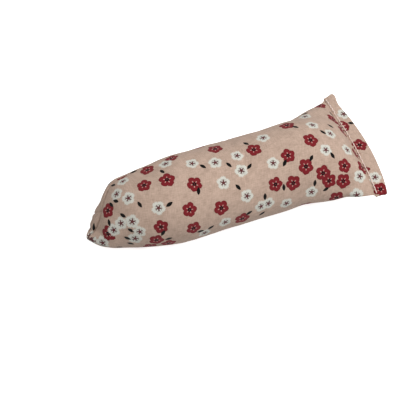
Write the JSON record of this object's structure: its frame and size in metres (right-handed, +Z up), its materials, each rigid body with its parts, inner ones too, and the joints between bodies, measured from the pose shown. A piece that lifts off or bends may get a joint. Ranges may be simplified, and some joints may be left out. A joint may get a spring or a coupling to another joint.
{
  "type": "eye pillow",
  "caption": "Plump tube-shaped eye pillow of printed cotton, seed filled, one end sewn blunt and the other closed by a flat topstitched hem.",
  "frame": {"origin": "under the middle of the pillow, on the surface that it rests on", "axes": "+X runs along the pillow from the sewn blunt end to the flat topstitched hem, +Z up, -Y is the side seen in use"},
  "size_m": [0.214, 0.098, 0.0588],
  "materials": {
    "printed_cotton": "plain-weave pink cotton with a printed scatter of crimson and white five-petal blossoms and small black leaves, matt",
    "seed": "loose brown flax seed, slightly glossy",
    "sewing_thread": "pale pink polyester sewing thread, soft sheen"
  },
  "bodies": {
    "root": {"cover_cloth": "printed_cotton", "seed_fill": "seed", "closing_needle_thread": "sewing_thread", "closing_bobbin_thread": "sewing_thread", "long_seam_needle_thread": "sewing_thread", "long_seam_bobbin_thread": "sewing_thread", "end_seam_needle_thread": "sewing_thread", "end_seam_bobbin_thread": "sewing_thread"}
  },
  "joints": []
}
